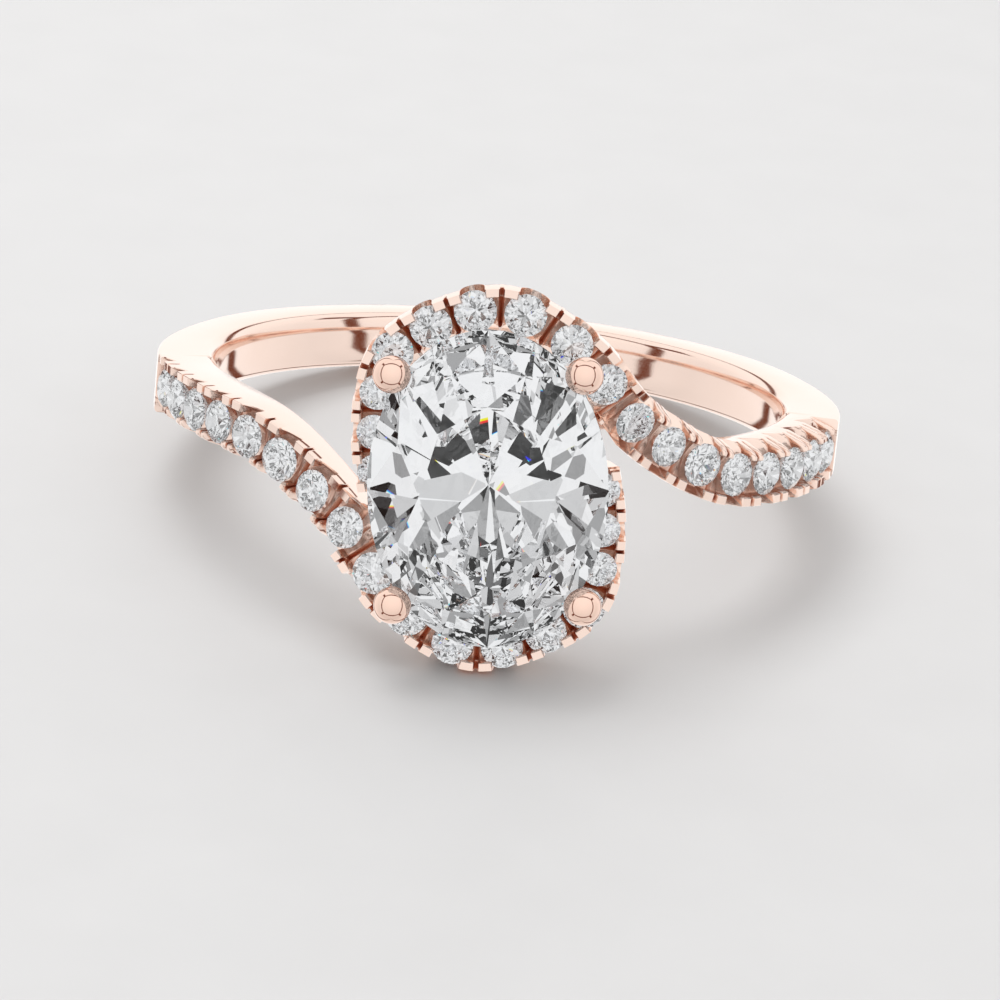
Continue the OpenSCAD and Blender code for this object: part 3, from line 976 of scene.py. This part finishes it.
points, faces = prong()
four = []
for sx in (1, -1):
    for sy in (1, -1):
        four.append((points * (sx, sy, 1), faces))
points, faces = merged(four)
prongs = make_piece("round_tip_prongs", on_head(points), faces, CLAW_GOLD)
cut_seat(prongs)
join_metal(prongs)
print("triangles in the prongs:", sum(len(p.vertices) - 2 for p in prongs.data.polygons))

# %% [markdown]
# ## The basket
# Under the stone the prongs stand on an oval rail. It is a rounded bar bent to an
# oval, and a short link on each side joins it to the arms, so the head and the
# band are one casting.

# %% Bend the base rail and the links
BASKET_W, BASKET_L, BASKET_RISE = 5.4, 7.3, 0.42
RAIL_W, RAIL_H = 0.6, 0.62
RAIL_SOFT = 0.12
RAIL_STEPS = 96
LINK_W, LINK_SIDE, LINK_TOP = 0.7, 1.75, FINGER_R + 0.72
LINK_SOFT = 0.1
LINK_TURNS = (14, 25)
LINK_STEPS = 9


def soft_box(half_a, half_b, soft, corner_steps=4):
    """Outline of a rectangle with rounded corners."""
    outline = []
    for quarter, (a, b) in enumerate([(1, 1), (-1, 1), (-1, -1), (1, -1)]):
        for k in range(corner_steps + 1):
            angle = math.pi / 2 * (quarter + k / corner_steps)
            outline.append((a * (half_a - soft) + soft * math.cos(angle),
                            b * (half_b - soft) + soft * math.sin(angle)))
    return outline


def base_rail():
    z = FINGER_R + BASKET_RISE - GIRDLE_Z
    outlines = []
    for k in range(RAIL_STEPS + 1):
        a = 2 * math.pi * k / RAIL_STEPS
        outlines.append([np.array([(BASKET_W / 2 + w) * math.cos(a), (BASKET_L / 2 + w) * math.sin(a), z + h])
                         for w, h in soft_box(RAIL_W / 2, RAIL_H / 2, RAIL_SOFT)])
    return sweep(outlines)


def link():
    outlines = []
    middle = (LINK_TOP + FINGER_R) / 2
    for turn in np.linspace(*LINK_TURNS, LINK_STEPS):
        a = math.radians(turn)
        outlines.append([np.array([(middle + h) * math.sin(a), LINK_SIDE + w, (middle + h) * math.cos(a)])
                         for w, h in soft_box(LINK_W / 2, (LINK_TOP - FINGER_R) / 2, LINK_SOFT)])
    points, faces = sweep(outlines)
    n = len(outlines[0])
    return points, faces + [tuple(range(n)), tuple(range(len(points) - n, len(points)))]


rail_points, rail_faces = base_rail()
link_points, link_faces = link()
points, faces = merged([
    ([on_bore(p) for p in on_head(rail_points)], rail_faces),
    ([on_bore(p) for p in link_points], link_faces),
    ([on_bore(p) for p in half_turned(link_points)], link_faces),
])
basket = make_piece("basket_rail", points, faces, GOLD)
join_metal(basket)
print("triangles in the basket:", sum(len(p.vertices) - 2 for p in basket.data.polygons))

# %% [markdown]
# ## The stones
# The stones come from the CAD model as they are, since a facet is flat and needs
# nothing more than a clear material. The gold and the table are kept out of the
# light that goes through a stone, so that it shows its own facets only.

# %% Give the stones their material
for name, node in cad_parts.items():
    if "stone" in name:
        node.data.materials.clear()
        node.data.materials.append(CENTER if name == "center_stone" else PAVE)
print("stones dressed:", sum("stone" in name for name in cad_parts))

# %% [markdown]
# ## The studio
# A jeweller's studio is a tent of white panels on a pale table. The panels give
# the gold its long soft lights, and the dark seams between them draw the fine
# lines that make polished metal look like metal. The tent is written in the
# world's nodes as a box round the ring: the seams are where two sides meet. The
# table is hidden from reflections, so that the tent shows in them instead.

# %% Lay the table
TABLE_TONES = (0.56, 0.59)
TABLE_REACH = 0.6
TABLE_GAP = 0.002


def floor_material():
    material = bpy.data.materials.new("pale_table")
    material.use_nodes = True
    tree = material.node_tree
    shader = tree.nodes["Principled BSDF"]
    place = add_node(tree, "TexCoord")
    mottle = add_node(tree, "TexNoise", {"Scale": 300.0, "Detail": 4.0})
    tree.links.new(place.outputs["Object"], mottle.inputs["Vector"])
    tone = add_node(tree, "MapRange", {"To Min": TABLE_TONES[0], "To Max": TABLE_TONES[1]})
    tree.links.new(mottle.outputs["Fac"], tone.inputs["Value"])
    tree.links.new(tone.outputs["Result"], shader.inputs["Base Color"])
    shader.inputs["Roughness"].default_value = 0.6
    return material


table = bmesh.new()
bmesh.ops.create_grid(table, x_segments=8, y_segments=8, size=TABLE_REACH)
floor_mesh = bpy.data.meshes.new("table_top")
table.to_mesh(floor_mesh)
table.free()
floor_mesh.materials.append(floor_material())
floor = bpy.data.objects.new("table_top", floor_mesh)
floor.location.z = -TABLE_GAP * MM
floor.visible_transmission = False
floor.visible_glossy = False
bpy.context.collection.objects.link(floor)

# %% [markdown]
# Jewellers light gold and stones differently, because a stone needs many small
# lights and darks to sparkle, and gold needs few and large ones. So the light
# that has passed through a stone sees a second world, a mosaic of bright and dark
# cells. It is the same on the left and on the right, so that the facets light up
# in pairs. Each colour sees it from a slightly different direction, which gives
# the small rainbow flashes of a cut stone.

# %% Light the tent
world = bpy.data.worlds.new("light_tent")
bpy.context.scene.world = world
world.use_nodes = True
tree = world.node_tree
link = tree.links.new


def number(operation, *values):
    """A math node with its inputs, each a number or another node's output."""
    node = add_node(tree, "Math", operation=operation)
    for k, value in enumerate(values):
        if isinstance(value, (int, float)):
            node.inputs[k].default_value = value
        else:
            link(value, node.inputs[k])
    return node.outputs[0]


FRONT_TILT = math.radians(26.5)
SIDE_REACH = 0.45
BACK_REACH = 0.30
SEAM = (0.10, 0.19)
SEAM_BROWN = (0.17, 0.05, 0.025, 1)
CLOTH_LEVEL = 0.96
FRONT_GAIN = 0.15
BACK_GAIN = 0.18
TOP_GAIN = 0.14
direction = add_node(tree, "TexCoord").outputs["Generated"]
tilted = add_node(tree, "Mapping", {"Rotation": (FRONT_TILT, 0, 0)})
link(direction, tilted.inputs["Vector"])
parts = add_node(tree, "SeparateXYZ")
link(tilted.outputs[0], parts.inputs[0])
side = number("MULTIPLY", number("ABSOLUTE", parts.outputs["X"]), SIDE_REACH)
to_front = number("MULTIPLY", parts.outputs["Y"], -1.0)
to_back = number("MULTIPLY", parts.outputs["Y"], BACK_REACH)
front = number("MAXIMUM", to_front, to_back)
in_front = number("LESS_THAN", parts.outputs["Y"], 0.0)
height = number("MULTIPLY", number("ABSOLUTE", parts.outputs["Z"]), SIDE_REACH)
above = number("MULTIPLY", height, in_front)
nearest = number("MAXIMUM", number("MAXIMUM", side, front), above)
second = number("MAXIMUM", number("MINIMUM", side, front),
                number("MINIMUM", number("MAXIMUM", side, front), above))
gap = number("DIVIDE", number("SUBTRACT", nearest, second), nearest)
seam_sizes = {"From Min": SEAM[0], "From Max": SEAM[1]}
panel = add_node(tree, "MapRange", seam_sizes, interpolation_type="SMOOTHSTEP")
link(gap, panel.inputs["Value"])
facing = number("MULTIPLY", number("MAXIMUM", to_front, 0.0), FRONT_GAIN)
back_light = number("MULTIPLY", number("MAXIMUM", parts.outputs["Y"], 0.0), BACK_GAIN)
top_light = number("MULTIPLY", parts.outputs["Z"], TOP_GAIN)
cloth_light = number("ADD", number("ADD", facing, back_light), number("ADD", top_light, CLOTH_LEVEL))
cloth = add_node(tree, "CombineColor")
for channel in ("Red", "Green", "Blue"):
    link(cloth_light, cloth.inputs[channel])
tent = add_node(tree, "Mix", data_type="RGBA")
link(panel.outputs["Result"], tent.inputs["Factor"])
tent.inputs["A"].default_value = SEAM_BROWN
link(cloth.outputs[0], tent.inputs["B"])

CELL_SCALE = 4.0
RAINBOW = 0.0003
MOSAIC_TURN = (1.0, 0.0, 0.0)
CELL_TONES = ((0.0, 0.01), (0.10, 0.12), (0.21, 0.34), (0.38, 0.62), (0.62, 0.88))
turned = add_node(tree, "Mapping", {"Rotation": MOSAIC_TURN})
link(direction, turned.inputs["Vector"])
halves = add_node(tree, "SeparateXYZ")
link(turned.outputs[0], halves.inputs[0])
mirrored = add_node(tree, "CombineXYZ")
link(number("ABSOLUTE", halves.outputs["X"]), mirrored.inputs["X"])
link(halves.outputs["Y"], mirrored.inputs["Y"])
link(halves.outputs["Z"], mirrored.inputs["Z"])
mosaic = add_node(tree, "CombineColor")
for channel, shift in (("Red", -RAINBOW), ("Green", 0.0), ("Blue", RAINBOW)):
    nudged = add_node(tree, "VectorMath", {1: (shift, shift, -shift)}, operation="ADD")
    link(mirrored.outputs[0], nudged.inputs[0])
    cells = add_node(tree, "TexVoronoi", {"Scale": CELL_SCALE})
    link(nudged.outputs[0], cells.inputs["Vector"])
    shade_of = add_node(tree, "SeparateColor")
    link(cells.outputs["Color"], shade_of.inputs[0])
    tones = add_node(tree, "ValToRGB")
    ramp = tones.color_ramp
    ramp.interpolation = "CONSTANT"
    for k, (position, level) in enumerate(CELL_TONES):
        spot = ramp.elements[k] if k < len(ramp.elements) else ramp.elements.new(position)
        spot.position = position
        spot.color = (level, level, level, 1)
    link(shade_of.outputs[0], tones.inputs["Fac"])
    link(tones.outputs["Color"], mosaic.inputs[channel])

paths = add_node(tree, "LightPath")
seen = add_node(tree, "Mix", data_type="RGBA")
link(paths.outputs["Is Transmission Ray"], seen.inputs["Factor"])
link(tent.outputs["Result"], seen.inputs["A"])
link(mosaic.outputs[0], seen.inputs["B"])
link(seen.outputs["Result"], tree.nodes["Background"].inputs["Color"])


# %% [markdown]
# One large soft panel overhead gives the shadow on the table its direction. Light
# bounces many times inside a stone before it leaves, so the renderer is allowed
# more bounces than it has as a rule.

# %% Hang the panel and set the bounces
PANEL_AT = (-60, 40, 220)
PANEL_SIZE = (160, 120)
PANEL_POWER = 0.25


def soft_light(name, place, size, power):
    light = bpy.data.lights.new(name, "AREA")
    light.shape = "RECTANGLE"
    light.size = size[0] * MM
    light.size_y = size[1] * MM
    light.energy = power
    lamp = bpy.data.objects.new(name, light)
    lamp.location = Vector(place) * MM
    lamp.rotation_euler = (-Vector(place)).to_track_quat("-Z", "Y").to_euler()
    lamp.visible_glossy = False
    lamp.visible_transmission = False
    bpy.context.collection.objects.link(lamp)


soft_light("overhead_panel", PANEL_AT, PANEL_SIZE, PANEL_POWER)
scene = bpy.context.scene
scene.cycles.max_bounces = 24
scene.cycles.glossy_bounces = 18
scene.cycles.transmission_bounces = 20
scene.view_settings.view_transform = "Standard"
print("lights:", len(bpy.data.lights), "and the tent")
